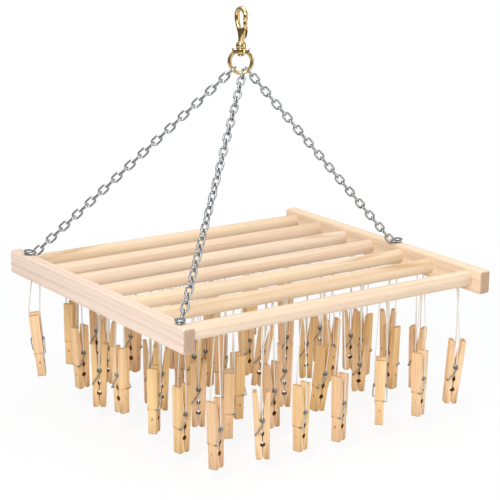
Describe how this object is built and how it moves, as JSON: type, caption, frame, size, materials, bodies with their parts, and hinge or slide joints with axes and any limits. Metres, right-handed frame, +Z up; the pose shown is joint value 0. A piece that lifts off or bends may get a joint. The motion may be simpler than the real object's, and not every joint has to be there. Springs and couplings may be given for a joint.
{
  "type": "clothespin drying hanger",
  "caption": "Hanging drying rack: wooden dowels between two rails, hung by chains from a brass swivel snap, with sprung wooden clothespins on strings below.",
  "frame": {"origin": "inside top of the snap's hook, the point that the rack hangs from", "axes": "+Z up; +X along the dowels, from the rail with two chains to the rail with one; -Y towards the front row of pins"},
  "size_m": [0.455, 0.406, 0.5102],
  "materials": {
    "rail_wood": "planed, unvarnished",
    "dowel_wood": "sanded, unvarnished",
    "pin_wood": "smooth, unvarnished",
    "brass": "polished",
    "zinc": "zinc plated",
    "spring_steel": "drawn wire",
    "cotton": "twisted string"
  },
  "bodies": {
    "snap": {"snap_hook": "brass", "snap_spring": "spring_steel"},
    "bolt": {"snap_bolt": "brass"},
    "ring": {"snap_ring": "brass"},
    "rack": {"rail_left": "rail_wood", "rail_right": "rail_wood", "dowel_1": "dowel_wood", "dowel_2": "dowel_wood", "dowel_3": "dowel_wood", "dowel_4": "dowel_wood", "dowel_5": "dowel_wood", "dowel_6": "dowel_wood", "dowel_7": "dowel_wood", "chain_left_rear": "zinc", "chain_left_front": "zinc", "chain_right": "zinc", "screw_left_rear": "zinc", "screw_left_front": "zinc", "screw_right": "zinc"},
    "pin_1_1": {"pin_1_1": "pin_wood"},
    "pin_1_2": {"pin_1_2": "pin_wood"},
    "pin_1_3": {"pin_1_3": "pin_wood"},
    "pin_1_4": {"pin_1_4": "pin_wood"},
    "pin_1_5": {"pin_1_5": "pin_wood"},
    "pin_1_6": {"pin_1_6": "pin_wood"},
    "pin_1_7": {"pin_1_7": "pin_wood"},
    "pin_2_1": {"pin_2_1": "pin_wood"},
    "pin_3_1": {"pin_3_1": "pin_wood"},
    "pin_4_1": {"pin_4_1": "pin_wood"},
    "pin_5_1": {"pin_5_1": "pin_wood"},
    "pin_6_1": {"pin_6_1": "pin_wood"},
    "pin_7_1": {"pin_7_1_string": "cotton", "pin_7_1_spring": "spring_steel", "pin_7_1_leg_held": "pin_wood"},
    "pin_7_1_free": {"pin_7_1_leg_free": "pin_wood"},
    "pin_7_2": {"pin_7_2_string": "cotton", "pin_7_2_spring": "spring_steel", "pin_7_2_leg_held": "pin_wood"},
    "pin_7_2_free": {"pin_7_2_leg_free": "pin_wood"},
    "pin_7_3": {"pin_7_3_string": "cotton", "pin_7_3_spring": "spring_steel", "pin_7_3_leg_held": "pin_wood"},
    "pin_7_3_free": {"pin_7_3_leg_free": "pin_wood"},
    "pin_7_4": {"pin_7_4_string": "cotton", "pin_7_4_spring": "spring_steel", "pin_7_4_leg_held": "pin_wood"},
    "pin_7_4_free": {"pin_7_4_leg_free": "pin_wood"},
    "pin_7_5": {"pin_7_5_string": "cotton", "pin_7_5_spring": "spring_steel", "pin_7_5_leg_held": "pin_wood"},
    "pin_7_5_free": {"pin_7_5_leg_free": "pin_wood"},
    "pin_7_6": {"pin_7_6_string": "cotton", "pin_7_6_spring": "spring_steel", "pin_7_6_leg_held": "pin_wood"},
    "pin_7_6_free": {"pin_7_6_leg_free": "pin_wood"},
    "pin_7_7": {"pin_7_7_string": "cotton", "pin_7_7_spring": "spring_steel", "pin_7_7_leg_held": "pin_wood"},
    "pin_7_7_free": {"pin_7_7_leg_free": "pin_wood"}
  },
  "joints": [
    {"name": "bolt_slide", "type": "slide", "parent": "snap", "child": "bolt", "axis": [0, 0, -1], "range_m": [0, 0.0066], "stiffness_N_per_m": 250, "springref_m": -0.004, "deforming": ["snap_spring"]},
    {"name": "ring_swivel", "type": "hinge", "parent": "snap", "child": "ring", "pos_m": [0, 0, -0.0482], "axis": [0, 0, 1], "continuous": true},
    {"name": "rack_swing", "type": "hinge", "parent": "ring", "child": "rack", "pos_m": [0, 0, -0.07371], "axis": [0.809, -0.5878, 0], "range_deg": [-10, 10]},
    {"name": "pin_1_1_swing", "type": "hinge", "parent": "rack", "child": "pin_1_1", "pos_m": [-0.193, 0.175, -0.33567], "axis": [1, 0, 0], "range_deg": [-8, 8]},
    {"name": "pin_1_2_swing", "type": "hinge", "parent": "rack", "child": "pin_1_2", "pos_m": [-0.1429, 0.175, -0.33567], "axis": [1, 0, 0], "range_deg": [-8, 8]},
    {"name": "pin_1_3_swing", "type": "hinge", "parent": "rack", "child": "pin_1_3", "pos_m": [-0.10291, 0.175, -0.33567], "axis": [1, 0, 0], "range_deg": [-8, 8]},
    {"name": "pin_1_4_swing", "type": "hinge", "parent": "rack", "child": "pin_1_4", "pos_m": [-0.04594, 0.175, -0.33567], "axis": [1, 0, 0], "range_deg": [-8, 8]},
    {"name": "pin_1_5_swing", "type": "hinge", "parent": "rack", "child": "pin_1_5", "pos_m": [0.0191, 0.175, -0.33567], "axis": [1, 0, 0], "range_deg": [-8, 8]},
    {"name": "pin_1_6_swing", "type": "hinge", "parent": "rack", "child": "pin_1_6", "pos_m": [0.08091, 0.175, -0.33567], "axis": [1, 0, 0], "range_deg": [-8, 8]},
    {"name": "pin_1_7_swing", "type": "hinge", "parent": "rack", "child": "pin_1_7", "pos_m": [0.14495, 0.175, -0.33567], "axis": [1, 0, 0], "range_deg": [-8, 8]},
    {"name": "pin_2_1_swing", "type": "hinge", "parent": "rack", "child": "pin_2_1", "pos_m": [-0.16007, 0.12115, -0.33567], "axis": [1, 0, 0], "range_deg": [-8, 8]},
    {"name": "pin_3_1_swing", "type": "hinge", "parent": "rack", "child": "pin_3_1", "pos_m": [-0.16492, 0.06515, -0.33567], "axis": [1, 0, 0], "range_deg": [-8, 8]},
    {"name": "pin_4_1_swing", "type": "hinge", "parent": "rack", "child": "pin_4_1", "pos_m": [-0.16896, 0.00699, -0.33567], "axis": [1, 0, 0], "range_deg": [-8, 8]},
    {"name": "pin_5_1_swing", "type": "hinge", "parent": "rack", "child": "pin_5_1", "pos_m": [-0.15805, -0.05296, -0.33567], "axis": [1, 0, 0], "range_deg": [-8, 8]},
    {"name": "pin_6_1_swing", "type": "hinge", "parent": "rack", "child": "pin_6_1", "pos_m": [-0.15704, -0.11184, -0.33567], "axis": [1, 0, 0], "range_deg": [-8, 8]},
    {"name": "pin_7_1_swing", "type": "hinge", "parent": "rack", "child": "pin_7_1", "pos_m": [-0.15805, -0.184, -0.33567], "axis": [1, 0, 0], "range_deg": [-10, 10]},
    {"name": "pin_7_1_squeeze", "type": "hinge", "parent": "pin_7_1", "child": "pin_7_1_free", "pos_m": [-0.15805, -0.184, -0.44666], "axis": [-0.3584, 0.9336, 0], "range_deg": [0, 14], "stiffness_Nm_per_rad": 0.3, "springref_deg": -17.19, "deforming": ["pin_7_1_spring"]},
    {"name": "pin_7_2_swing", "type": "hinge", "parent": "rack", "child": "pin_7_2", "pos_m": [-0.09301, -0.184, -0.33567], "axis": [1, 0, 0], "range_deg": [-10, 10]},
    {"name": "pin_7_2_squeeze", "type": "hinge", "parent": "pin_7_2", "child": "pin_7_2_free", "pos_m": [-0.09301, -0.184, -0.44865], "axis": [0.5299, 0.848, 0], "range_deg": [0, 14], "stiffness_Nm_per_rad": 0.3, "springref_deg": -17.19, "deforming": ["pin_7_2_spring"]},
    {"name": "pin_7_3_swing", "type": "hinge", "parent": "rack", "child": "pin_7_3", "pos_m": [-0.03605, -0.184, -0.33567], "axis": [1, 0, 0], "range_deg": [-10, 10]},
    {"name": "pin_7_3_squeeze", "type": "hinge", "parent": "pin_7_3", "child": "pin_7_3_free", "pos_m": [-0.03605, -0.184, -0.45065], "axis": [-0.2924, 0.9563, 0], "range_deg": [0, 14], "stiffness_Nm_per_rad": 0.3, "springref_deg": -17.19, "deforming": ["pin_7_3_spring"]},
    {"name": "pin_7_4_swing", "type": "hinge", "parent": "rack", "child": "pin_7_4", "pos_m": [0.02193, -0.184, -0.33567], "axis": [1, 0, 0], "range_deg": [-10, 10]},
    {"name": "pin_7_4_squeeze", "type": "hinge", "parent": "pin_7_4", "child": "pin_7_4_free", "pos_m": [0.02193, -0.184, -0.45065], "axis": [-0.342, 0.9397, 0], "range_deg": [0, 14], "stiffness_Nm_per_rad": 0.3, "springref_deg": -17.19, "deforming": ["pin_7_4_spring"]},
    {"name": "pin_7_5_swing", "type": "hinge", "parent": "rack", "child": "pin_7_5", "pos_m": [0.08495, -0.184, -0.33567], "axis": [1, 0, 0], "range_deg": [-10, 10]},
    {"name": "pin_7_5_squeeze", "type": "hinge", "parent": "pin_7_5", "child": "pin_7_5_free", "pos_m": [0.08495, -0.184, -0.44172], "axis": [-0.766, 0.6428, 0], "range_deg": [0, 14], "stiffness_Nm_per_rad": 0.3, "springref_deg": -17.19, "deforming": ["pin_7_5_spring"]},
    {"name": "pin_7_6_swing", "type": "hinge", "parent": "rack", "child": "pin_7_6", "pos_m": [0.14798, -0.184, -0.33567], "axis": [1, 0, 0], "range_deg": [-10, 10]},
    {"name": "pin_7_6_squeeze", "type": "hinge", "parent": "pin_7_6", "child": "pin_7_6_free", "pos_m": [0.14798, -0.184, -0.44372], "axis": [-0.342, 0.9397, 0], "range_deg": [0, 14], "stiffness_Nm_per_rad": 0.3, "springref_deg": -17.19, "deforming": ["pin_7_6_spring"]},
    {"name": "pin_7_7_swing", "type": "hinge", "parent": "rack", "child": "pin_7_7", "pos_m": [0.20595, -0.184, -0.33567], "axis": [1, 0, 0], "range_deg": [-10, 10]},
    {"name": "pin_7_7_squeeze", "type": "hinge", "parent": "pin_7_7", "child": "pin_7_7_free", "pos_m": [0.20595, -0.184, -0.43868], "axis": [0.4384, 0.8988, 0], "range_deg": [0, 14], "stiffness_Nm_per_rad": 0.3, "springref_deg": -17.19, "deforming": ["pin_7_7_spring"]}
  ]
}
